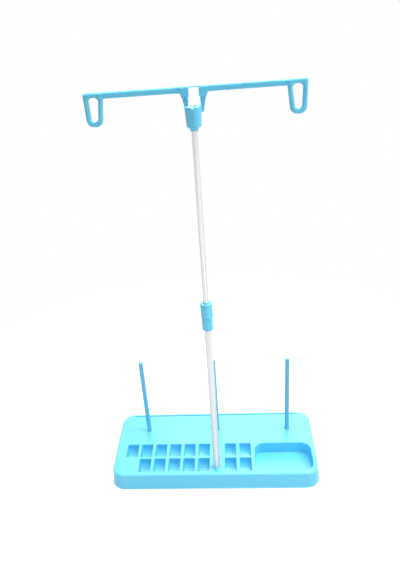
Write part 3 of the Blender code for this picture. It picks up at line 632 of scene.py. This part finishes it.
def makeBaseTray():
    piece = baseShell()
    deckMiddle = deckTop - base["deckMm"] / 2 * mm
    left, right = slotColumns()
    poleBore = roundOf("lower_tube") + fit
    socketSeat = deckTop - base["socketDepthMm"] * mm
    socketFoot = socketSeat - base["socketFloorMm"] * mm
    ringTop = baseHigh.z
    ringRadius = poleBore + base["ringWallMm"] * mm
    ring = [(0, socketFoot), (ringRadius, socketFoot), (ringRadius, ringTop), (0, ringTop)]
    added = [solidOfRevolution("socket", ring, [0, base["socketFootEdgeMm"], base["ringEdgeMm"], 0], poleMiddle),
             traySolid("trayCup", tray["wallMm"] * mm, deckMiddle, 0)]
    cut = [traySolid("traySpace", 0, deckTop + over, tray["rimMm"] * mm), grooveCutter(),
           boreCutter("socketBore", poleBore, socketSeat, ringTop, poleMiddle),
           column("socketScrewHole", base["socketHoleMm"] * mm, socketFoot - over, socketSeat + over, poleMiddle)]
    wall = slots["wallMm"] * mm
    bevel = slots["cupEndMm"] * mm
    for row, front in enumerate(rowFronts):
        yMiddle = front + slotLength / 2
        rowLeft = left if row else left[:-1]            # the front row has one slot fewer on the left
        for first, last in ((rowLeft[-1], rowLeft[0]), (right[0], right[-1])):
            added.append(troughSolid("slotCup", first - wall, last + slotWidth + wall, yMiddle,
                                     [(0.0, bevel - wall), (bevel, -wall)], deckMiddle))
        for x in [*rowLeft, *right]:
            cut += slotCutters(x, yMiddle)
    for node in pinNodes:
        pinBore = pins["radiusMm"] * mm + fit
        bossFoot = deckTop - base["pinBossDepthMm"] * mm
        added.append(column("pinBoss", pinBore + base["pinBossWallMm"] * mm, bossFoot, deckMiddle, middle(node)))
        cut.append(boreCutter("pinBore", pinBore, bossFoot - over, deckTop, middle(node)))
    for node in screwNodes:
        boreTop = coverTop + base["screwBoreDepthMm"] * mm
        added.append(column("screwBoss", base["screwBossMm"] * mm, coverTop + fit, deckMiddle, middle(node)))
        cut.append(column("screwBore", base["screwBoreMm"] * mm, coverTop - over, boreTop, middle(node)))
    combined(piece, added, "UNION")
    combined(piece, cut, "DIFFERENCE")
    finished(piece, "sky_blue_plastic", "base", "base_tray")


makeBaseTray()
print("base: shell, slots, tray, ring and bosses")


# Pins, tubes and small turned pieces

tubes = {"upperBoreMm": 1.9, "lowerBoreMm": 2.8, "lipMm": 0.2}


def makePins():
    for node in pinNodes:
        low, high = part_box(node)
        radius = pins["radiusMm"] * mm
        flange = radius + pins["flangeMm"] * mm
        step = low.z + pins["flangeHeightMm"] * mm
        points = [(0, low.z), (flange, low.z), (flange, step), (radius, step), (radius, high.z), (0, high.z)]
        name = "spoolPin" + node.split("_")[-1].title()
        piece = solidOfRevolution(name, points, [0, 0.3, 0.3, 0.15, pins["tipMm"], 0], middle(node), 64)
        finished(piece, "pin_blue_plastic", "base", node)


def makeTube(name, node, boreMm, body):
    low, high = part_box(node)
    outer = roundOf(node)
    bore = boreMm * mm
    points = [(outer, low.z), (outer, high.z), (bore, high.z), (bore, low.z)]
    piece = solidOfRevolution(name, points, tubes["lipMm"], middle(node))
    finished(piece, "tube_metal", body, node)


makePins()
makeTube("lowerTube", "lower_tube", tubes["lowerBoreMm"], "base")
makeTube("upperTube", "upper_tube", tubes["upperBoreMm"], "mast")
print("pins and tubes")


# Height lock: sleeve, split bush and nut

lock = {                           # rows of rounding follow the corners of each profile, from its first point on
    "spigotWallMm": 0.9,
    "sleeveRoundingMm": (0.2, 1.5, 0.4, 0.1, 0.2, 0.2),
    "nutWallMm": 0.8,
    "bulgeMm": 0.2,                # how far the bulge over the nut's foot stands out, and where it starts and ends
    "bulgeFromMm": 1.0,
    "bulgeToMm": 3.4,
    "grooveFromTopMm": 1.9,
    "grooveDepthMm": 0.36,
    "topMm": 1.6,
    "topSeatMm": 1.3,              # width of the step under the nut's top
    "coneStartMm": 4.6,            # height above the bush's foot at which the nut's inner cone starts
    "nutRoundingMm": (0.2, 0.4, 0.5, 1.2, 0.5, 0.12, 0.12, 0.12, 0.4, 0.1, 0.1, 0.1, 0.1),
    "coneMm": 4.0,
    "colletLipMm": 0.8,
    "colletRoundingMm": 0.1,
    "slitMm": 1.0,
}


def makeSleeve():
    low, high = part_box("lock_sleeve")
    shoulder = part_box("lock_nut")[0].z - fit
    bore = roundOf("lower_tube") + fit
    outer = roundOf("lock_sleeve")
    spigot = bore + lock["spigotWallMm"] * mm
    points = [(bore, low.z), (outer, low.z), (outer, shoulder), (spigot, shoulder), (spigot, high.z), (bore, high.z)]
    piece = solidOfRevolution("lockSleeve", points, lock["sleeveRoundingMm"], poleMiddle, steps=8)
    finished(piece, "sky_blue_plastic", "base", "lock_sleeve")


def makeNut():
    low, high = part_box("lock_nut")
    widest = roundOf("lock_nut")
    wall = widest - lock["bulgeMm"] * mm
    bore = wall - lock["nutWallMm"] * mm
    tubeBore = roundOf("upper_tube") + fit
    bulgeLow = low.z + lock["bulgeFromMm"] * mm
    bulgeHigh = low.z + lock["bulgeToMm"] * mm
    groove = high.z - lock["grooveFromTopMm"] * mm
    deep = lock["grooveDepthMm"] * mm
    seat = high.z - lock["topMm"] * mm
    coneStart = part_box("lock_collet")[0].z + lock["coneStartMm"] * mm
    points = [(bore, low.z), (wall, low.z), (wall, bulgeLow), (widest, (bulgeLow + bulgeHigh) / 2), (wall, bulgeHigh),
              (wall, groove - 2 * deep), (wall - deep, groove), (wall, groove + 2 * deep), (wall, high.z),
              (tubeBore, high.z), (tubeBore, seat), (tubeBore + lock["topSeatMm"] * mm, seat), (bore, coneStart)]
    piece = solidOfRevolution("lockNut", points, lock["nutRoundingMm"], poleMiddle, steps=8)
    finished(piece, "sky_blue_plastic", "height_nut", "lock_nut")


def makeCollet():
    low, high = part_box("lock_collet")
    head = roundOf("lock_collet")
    tubeBore = roundOf("upper_tube") + fit
    stem = roundOf("lower_tube")
    top = head - lock["colletLipMm"] * mm
    headFoot = high.z - lock["coneMm"] * mm
    points = [(tubeBore, low.z), (stem, low.z), (stem, headFoot), (head, headFoot), (top, high.z), (tubeBore, high.z)]
    piece = solidOfRevolution("lockCollet", points, lock["colletRoundingMm"], poleMiddle)
    half = lock["slitMm"] / 2 * mm
    corner = (poleMiddle[0], poleMiddle[1] - half), (poleMiddle[0] + 2 * head, poleMiddle[1] + half)
    slit = stackedRectangles("colletSlit", *corner, 0, [0, 0], [low.z - over, high.z + over], 1)
    combined(piece, [slit], "DIFFERENCE")
    finished(piece, "natural_nylon", "base", "lock_collet")


makeSleeve()
makeNut()
makeCollet()
print("height lock")


# Guide bar: one moulding with end loops, an open eye in the middle and a collar on the pole

guide = {
    "barHeightMm": 5.1,
    "barDepthMm": 5.0,
    "setbackMm": 3.0,               # front face of the bar behind the pole's middle
    "edgeMm": 1.6,                  # rounding of the edges: of the bar and its loops, the arms, and the eye's web
    "armEdgeMm": 0.8,
    "webEdgeMm": 0.38,
    "webToArmMm": (5.5, 8.0),       # distances from the middle between which one rounding becomes the next
    "armToBarMm": (12.0, 18.0),
    "endRoundMm": 1.8,
    "loopWidthMm": 16.5,
    "loopFootWidthMm": 13.9,
    "loopDropMm": 27.6,
    "loopRoundMm": 6.0,
    "loopLeanMm": 0.6,
    "stripMm": 4.1,
    "topWebMm": 3.9,
    "tipRadiusMm": 3.0,
    "holeRoundMm": 3.4,
    "eyeHalfMm": 5.1,
    "eyeWebMm": 0.9,
    "eyeRoundMm": 1.0,
    "eyeHeightMm": 14.0,
    "armAtBarMm": 6.6,
    "armBelowBlockMm": 4.8,
    "armTipMm": 5.9,
    "armRoundMm": (0.8, 0.8, 2.0, 0.8),     # where the loop and then the arm meet the bar, and down the arm
    "armTipWidthMm": 2.2,
    "blockHeightMm": 8.2,
    "blockProudMm": 1.0,
    "blockInsetMm": 0.9,
    "blockOverArmMm": 0.5,          # how far a block's foot reaches past the arm
    "blockRoundMm": 0.5,
    "blockEdgeMm": 0.35,
    "loopBlockHeightMm": 5.2,
    "loopBlockProudMm": 0.6,
    "loopBlockInsetMm": 0.5,
    "loopBlockRoundMm": 0.4,
    "loopBlockEdgeMm": 0.3,
    "collarTopMm": 7.05,
    "collarFootMm": 6.2,
    "collarHeightMm": 17.1,
    "capMm": 3.0,
    "neckHeightMm": 2.6,
    "neckWallMm": 1.3,
    "neckLipMm": 0.5,
    "collarRoundingMm": (0, 0.25, 0.15, 2.0, 0.9, 0),
    "notchWidthMm": 4.0,
    "notchDepthMm": 1.4,
    "notchRoundMm": 0.35,
    "notchReachMm": 9.0,
}

barLow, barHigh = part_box("guide_bar")
barTop = barHigh.z
barBottom = barTop - guide["barHeightMm"] * mm
barEnd = (barHigh.x - barLow.x) / 2
barMiddle = (barHigh.x + barLow.x) / 2
collarTop = barTop - (guide["eyeWebMm"] + guide["eyeHeightMm"]) * mm
barFront = poleMiddle[1] + guide["setbackMm"] * mm


def arcPoints(centre, radius, start, end, steps=8):
    angle = np.radians(np.linspace(start, end, steps + 1))
    return np.stack([centre[0] + radius * np.cos(angle), centre[1] + radius * np.sin(angle)], axis=1)


def platePiece(name, loops, front, depth, edgeAt, steps=4):
    # A flat plate in the XZ plane. Each outline is carried round a profile of its front edge's quarter circle and
    # its back edge's: point = outline - inset * outward normal, at the profile's own Y. edgeAt gives the circle's
    # radius at each X. The two flat faces are filled between the outlines' innermost rings; the first outline is
    # the outside, the rest are holes.
    inset, rise = quarter(1.0, steps)
    points, faces, flats, first = [], [], [], 0
    for number, loop in enumerate(loops):
        loop = anticlockwise(loop)
        outward = outwardNormals(loop) * (1 if number == 0 else -1)
        edge = np.broadcast_to(edgeAt(loop[:, 0]), len(loop))
        rings = loop[None] - (np.concatenate([inset[::-1], inset])[:, None] * edge)[..., None] * outward[None]
        ringY = np.concatenate([front + (1 - rise[::-1, None]) * edge, front + depth - (1 - rise[:, None]) * edge])
        grid = np.stack([rings[..., 0], ringY, rings[..., 1]], axis=2)
        index = first + np.arange(grid.shape[0] * grid.shape[1]).reshape(grid.shape[:2])
        along = np.roll(index, -1, axis=1)
        faces += np.stack([index[:-1], along[:-1], along[1:], index[1:]], axis=2).reshape(-1, 4).tolist()
        points.append(grid.reshape(-1, 3))
        flats.append((index[0], index[-1]))
        first += index.size
    bm = bmesh.new()
    verts = [bm.verts.new(point) for point in np.concatenate(points)]
    for face in faces:
        bm.faces.new([verts[k] for k in face])
    for side in (0, 1):
        edges = []
        for flat in flats:
            ring = [verts[k] for k in flat[side]]
            edges += [bm.edges.get((a, b)) for a, b in zip(ring, ring[1:] + ring[:1])]
        bmesh.ops.triangle_fill(bm, edges=edges, use_beauty=True)
    bmesh.ops.recalc_face_normals(bm, faces=bm.faces)
    mesh = bpy.data.meshes.new(name)
    bm.to_mesh(mesh)
    bm.free()
    return newObject(name, mesh)


def evenEdge(sizeMm):
    return lambda x: sizeMm * mm


def eased(value, start, end):
    # 0 before start, 1 after end, and 3 s^2 - 2 s^3 of the share s between them
    share = np.clip((value - start) / (end - start), 0, 1)
    return share * share * (3 - 2 * share)


def barEdge(x):
    # roundest on the bar and its loops, less so at the arms, and only a little on the thin web over the eye
    away = np.abs(x - barMiddle) / mm
    web, arm, bar = guide["webEdgeMm"], guide["armEdgeMm"], guide["edgeMm"]
    toArm, toBar = eased(away, *guide["webToArmMm"]), eased(away, *guide["armToBarMm"])
    return (web + (arm - web) * toArm + (bar - arm) * toBar) * mm


def divided(loop, longest=2 * mm):
    # the same outline with its long sides cut into short ones
    parts = []
    for start, end in zip(loop, np.roll(loop, -1, axis=0)):
        count = math.ceil(np.linalg.norm(end - start) / longest)
        parts.append(start + (end - start) * np.linspace(0, 1, count, endpoint=False)[:, None])
    return np.concatenate(parts)


def mirrored(points, side):
    # a half outline about the bar's middle, for the right half (1) or the left half (-1)
    return np.stack([barMiddle + side * points[:, 0], points[:, 1]], axis=1)


def loopCorners():
    # the end loop's four corners, right half: its leaning sides are carried down to the level of its bottom
    bottom = barTop - guide["loopDropMm"] * mm
    corner = guide["loopRoundMm"] * mm
    outer = barEnd - guide["loopLeanMm"] * mm
    inner = outer - guide["loopFootWidthMm"] * mm
    innerTop = barEnd - guide["loopWidthMm"] * mm
    lean = (inner - innerTop) / (barBottom - bottom - corner)
    return [(barEnd, barTop), (outer, bottom), (inner + lean * corner, bottom), (innerTop, barBottom)]


def barOutline():
    # corners of the right half from its top end, then of the left half backwards
    eye = guide["eyeHalfMm"] * mm
    arm = [(eye + guide["armAtBarMm"] * mm, barBottom),
           (eye + guide["armBelowBlockMm"] * mm, barTop - guide["blockHeightMm"] * mm),
           (eye + guide["armTipWidthMm"] * mm, collarTop - guide["armTipMm"] * mm)]
    half = np.array(loopCorners() + arm)
    radii = np.array([guide["endRoundMm"], *[guide["loopRoundMm"]] * 2, *guide["armRoundMm"]]) * mm
    corners = np.concatenate([mirrored(half, 1), mirrored(half, -1)[::-1]])
    return divided(roundedCorners(corners, np.concatenate([radii, radii[::-1]]), 10))


def loopHole(side):
    # wide at the top, narrowing to a round tip
    high = barTop - guide["topWebMm"] * mm
    tip = barTop + (guide["stripMm"] + guide["tipRadiusMm"] - guide["loopDropMm"]) * mm
    outer = barEnd - guide["stripMm"] * mm
    inner = barEnd - (guide["loopWidthMm"] - guide["stripMm"]) * mm
    middleX = barEnd - (guide["loopLeanMm"] + guide["loopFootWidthMm"] / 2) * mm
    corner = guide["holeRoundMm"] * mm
    points = np.concatenate([arcPoints((inner + corner, high - corner), corner, 180, 90),
                             arcPoints((outer - corner, high - corner), corner, 90, 0),
                             arcPoints((middleX, tip), guide["tipRadiusMm"] * mm, 0, -180, 16)])
    gap = np.linalg.norm(points - np.roll(points, 1, axis=0), axis=1)
    return mirrored(points[gap > 1e-6], side)


def eyeHole():
    half = guide["eyeHalfMm"] * mm
    top = collarTop + guide["eyeHeightMm"] * mm
    low = collarTop - guide["capMm"] / 2 * mm
    corners = np.array([(-half, low), (half, low), (half, top), (-half, top)])
    return roundedCorners(mirrored(corners, 1), np.array([0.3, 0.3, 1, 1]) * guide["eyeRoundMm"] * mm, 6)


def raisedBlock(name, side, near, foot, head, kind):
    # a block that stands proud of the bar's front and reaches from near to foot, and to head at its top
    proud, corner, edgeMm = guide[kind + "ProudMm"] * mm, guide[kind + "RoundMm"] * mm, guide[kind + "EdgeMm"]
    low = barTop - guide[kind + "HeightMm"] * mm
    high = barTop - guide["armEdgeMm"] * mm
    corners = np.array([(near, low), (foot, low), (head, high), (near, high)])
    outline = roundedCorners(mirrored(corners, side), corner, 5)
    return platePiece(name, [outline], barFront - proud, proud + guide["barDepthMm"] / 2 * mm, evenEdge(edgeMm))


def armBlock(side):
    # beside the eye, on the arm's root
    eye = guide["eyeHalfMm"] * mm
    foot = eye + (guide["armBelowBlockMm"] + guide["blockOverArmMm"]) * mm
    head = eye + guide["armAtBarMm"] * mm
    return raisedBlock("armBlock", side, eye - guide["blockInsetMm"] * mm, foot, head, "block")


def loopBlock(side):
    # where the bar meets its end loop
    near = barEnd - (guide["loopWidthMm"] - guide["loopBlockInsetMm"]) * mm
    far = barEnd - (guide["loopWidthMm"] - guide["stripMm"] + guide["loopBlockInsetMm"]) * mm
    return raisedBlock("loopBlock", side, near, far, far, "loopBlock")


def makeCollar():
    foot = collarTop - guide["collarHeightMm"] * mm
    neck = foot - guide["neckHeightMm"] * mm
    bore = roundOf("upper_tube") + fit
    points = [(0, neck), (bore + guide["neckLipMm"] * mm, neck), (bore + guide["neckWallMm"] * mm, foot),
              (guide["collarFootMm"] * mm, foot), (guide["collarTopMm"] * mm, collarTop), (0, collarTop)]
    return solidOfRevolution("collar", points, guide["collarRoundingMm"], poleMiddle, steps=8)


def notchCutter():
    # V-shaped groove along Y across the collar's top, with a rounded bottom
    depth = guide["notchDepthMm"] * mm
    rise = 1.5 * over                  # the V goes on above the collar with the same slope
    spread = guide["notchWidthMm"] / 2 * mm * (1 + rise / depth)
    corners = np.array([(0, collarTop - depth), (spread, collarTop + rise), (-spread, collarTop + rise)])
    outline = roundedCorners(corners + (poleMiddle[0], 0), np.array([guide["notchRoundMm"], 0.1, 0.1]) * mm, 6)
    reach = guide["notchReachMm"] * mm
    return platePiece("threadNotch", [outline], poleMiddle[1] - reach, 2 * reach, evenEdge(0.05), 1)


def makeGuideBar():
    loops = [barOutline(), loopHole(-1), loopHole(1), eyeHole()]
    piece = platePiece("guideBar", loops, barFront, guide["barDepthMm"] * mm, barEdge)
    combined(piece, [makeCollar(), armBlock(-1), loopBlock(-1), armBlock(1), loopBlock(1)], "UNION")
    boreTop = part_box("upper_tube")[1].z + fit
    bore = column("collarBore", roundOf("upper_tube") + fit, barLow.z - over, boreTop, poleMiddle)
    combined(piece, [bore, notchCutter()], "DIFFERENCE")
    finished(piece, "sky_blue_plastic", "guide", "guide_bar")


makeGuideBar()
print("guide bar")


# Underside: cover, screws and pads, and the plugs in the tubes

under = {
    "coverEdgeMm": 0.35,
    "coverHoleMm": 1.55,
    "countersinkMm": 3.0,
    "postRadiusMm": 3.4,
    "postInCoverMm": 0.8,          # how deep the posts' feet lie in the cover
    "postEdgeMm": 0.3,
    "padEdgeMm": 0.35,
    "recessWidthMm": 0.6,
    "recessDepthMm": 0.7,
    "recessNarrows": 0.55,         # size of the recess's floor against its mouth
}
coverScrew = {"headMm": 2.4, "rimMm": 0.25, "shankMm": 1.25, "pitchMm": 0.9, "threadMm": 0.28, "recessMm": 1.6}
poleScrew = {"headMm": 3.0, "heightMm": 2.2, "shankMm": 1.5, "pitchMm": 0.7, "threadMm": 0.22, "recessMm": 1.9}
plugs = {
    "poleFlangeMm": 1.0,
    "tapOverScrewMm": 0.3,         # how much wider the tapped hole is than the screw
    "tapDepthMm": 7.8,
    "poleRoundingMm": (0, 0.1, 0.2, 0.2, 0.2, 0.1, 0.4, 0),
    "slideFlangeMm": 1.5,
    "slideRoundingMm": (0, 0.2, 0.2, 0.1, 0.4, 0),
}


def makeCover():
    low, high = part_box("base_cover")
    top = coverTop
    edge = under["coverEdgeMm"] * mm
    inset, rise = quarter(edge, 4)
    grows = -np.concatenate([inset[::-1], inset])
    heights = np.concatenate([low.z + edge - rise[::-1], top - edge + rise])
    corner = base["cornerMm"] * mm - (low.x - baseLow.x)
    piece = stackedRectangles("baseCover", low, high, corner, grows, heights, 16)
    radius, foot = under["postRadiusMm"] * mm, top - under["postInCoverMm"] * mm
    posts = [column("pinPost", radius, foot, high.z, middle(node), under["postEdgeMm"]) for node in pinNodes]
    hole = under["coverHoleMm"] * mm
    mouth = under["countersinkMm"] * mm
    sink = [(0, low.z - over), (mouth + over, low.z - over), (hole, low.z + mouth - hole), (hole, top + over),
            (0, top + over)]
    holes = [solidOfRevolution("countersink", sink, 0, middle(node), 64) for node in screwNodes]
    combined(piece, posts, "UNION")
    combined(piece, holes, "DIFFERENCE")
    finished(piece, "sky_blue_plastic", "base", "base_cover")


def crossRecess(centre, reach, low, high):
    # plus sign, drawn in towards its inner end as a driver's tip is
    half = under["recessWidthMm"] / 2 * mm
    arm = np.array([(reach, -half), (reach, half), (half, half)])
    quarterTurn = np.array([(0, 1), (-1, 0)])
    plus = np.concatenate([arm @ np.linalg.matrix_power(quarterTurn, k) for k in range(4)])
    loops = [plus * scale + np.array(centre) for scale in (1.0, under["recessNarrows"])]
    return stackedLoops("crossRecess", loops, [low, high])


def threadedScrew(name, node, headMm, sizes):
    # Head profile as (radius, height) in mm, then a shank whose surface is a helix:
    # radius = shank - depth * wave(height / pitch - angle / full turn), fading out towards both ends. The last turn
    # and a half narrows to tipShare of the shank.
    low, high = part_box(node)
    centre = middle(node)
    shank, pitch, depth = sizes["shankMm"] * mm, sizes["pitchMm"] * mm, sizes["threadMm"] * mm
    sides, rowsPerTurn, tipShare = 48, 10, 0.55
    headProfile = np.array(headMm) * mm + (0, low.z)
    start = headProfile[-1, 1]
    angle = np.linspace(0, 2 * np.pi, sides, endpoint=False)
    height = np.linspace(start, high.z, int((high.z - start) / pitch * rowsPerTurn) + 2)
    phase = np.mod(height[:, None] / pitch - angle[None] / (2 * np.pi), 1)
    wave = np.abs(2 * phase - 1)
    ends = np.clip(np.minimum(height - start, (high.z - height) * 0.8) / pitch, 0, 1)[:, None]
    tip = np.clip((high.z - height) / (1.5 * pitch), 0, 1)[:, None]
    radius = (shank - depth * (1 - wave) * ends) * (tipShare + (1 - tipShare) * tip)
    allRadius = np.concatenate([np.repeat(headProfile[:, :1], sides, axis=1), radius[1:], np.zeros((1, sides))])
    allHeight = np.concatenate([headProfile[:, 1], height[1:], [high.z]])
    grid = np.stack([centre[0] + allRadius * np.cos(angle), centre[1] + allRadius * np.sin(angle),
                     np.repeat(allHeight[:, None], sides, axis=1)], axis=2)
    piece = gridMesh(name, grid)
    recessTop = low.z + under["recessDepthMm"] * mm
    combined(piece, [crossRecess(centre, sizes["recessMm"] * mm, low.z - over / 2, recessTop)], "DIFFERENCE")
    finished(piece, "plated_steel", "base", node)


def makeCoverScrews():
    # a flat head with a small rim, whose cone runs down to the shank
    head, rim, shank = coverScrew["headMm"], coverScrew["rimMm"], coverScrew["shankMm"]
    profile = [(0, 0), (head - rim, 0), (head, 0.4 * rim), (head - 0.1, rim), (shank, head - shank + 0.15)]
    for number, node in enumerate(screwNodes, 1):
        threadedScrew("coverScrew%d" % number, node, profile, coverScrew)


def makePoleScrew():
    # a pan head: rounded below, flat where it bears on the socket
    head, tall, shank = poleScrew["headMm"], poleScrew["heightMm"], poleScrew["shankMm"]
    profile = [(0, 0), (head - 0.5, 0), (head - 0.1, 0.3), (head, 0.8), (head, tall - 0.1), (head - 0.1, tall),
               (shank, tall)]
    threadedScrew("poleScrew", "pole_screw", profile, poleScrew)


def makePads():
    edges = [0, under["padEdgeMm"], 0.1, 0]
    for number, node in enumerate(padNodes, 1):
        low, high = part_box(node)
        radius = roundOf(node)
        points = [(0, low.z), (radius, low.z), (radius, high.z), (0, high.z)]
        piece = solidOfRevolution("footPad%d" % number, points, edges, middle(node))
        finished(piece, "rubber", "base", node)


def makePlugs():
    low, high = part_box("pole_plug")
    flange = roundOf("pole_plug")
    stem = tubes["lowerBoreMm"] * mm - fit
    tapped = (poleScrew["shankMm"] + plugs["tapOverScrewMm"]) * mm
    tappedTop = low.z + plugs["tapDepthMm"] * mm
    step = low.z + plugs["poleFlangeMm"] * mm
    points = [(0, tappedTop), (tapped, tappedTop), (tapped, low.z), (flange, low.z), (flange, step), (stem, step),
              (stem, high.z), (0, high.z)]
    piece = solidOfRevolution("polePlug", points, plugs["poleRoundingMm"], poleMiddle)
    finished(piece, "natural_nylon", "base", "pole_plug")
    low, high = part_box("slide_plug")
    flange = roundOf("slide_plug")
    stem = tubes["upperBoreMm"] * mm - fit
    step = low.z + plugs["slideFlangeMm"] * mm
    points = [(0, low.z), (flange, low.z), (flange, step), (stem, step), (stem, high.z), (0, high.z)]
    piece = solidOfRevolution("slidePlug", points, plugs["slideRoundingMm"], poleMiddle)
    finished(piece, "natural_nylon", "mast", "slide_plug")


makeCover()
makeCoverScrews()
makePoleScrew()
makePads()
makePlugs()
print("underside, screws and plugs")
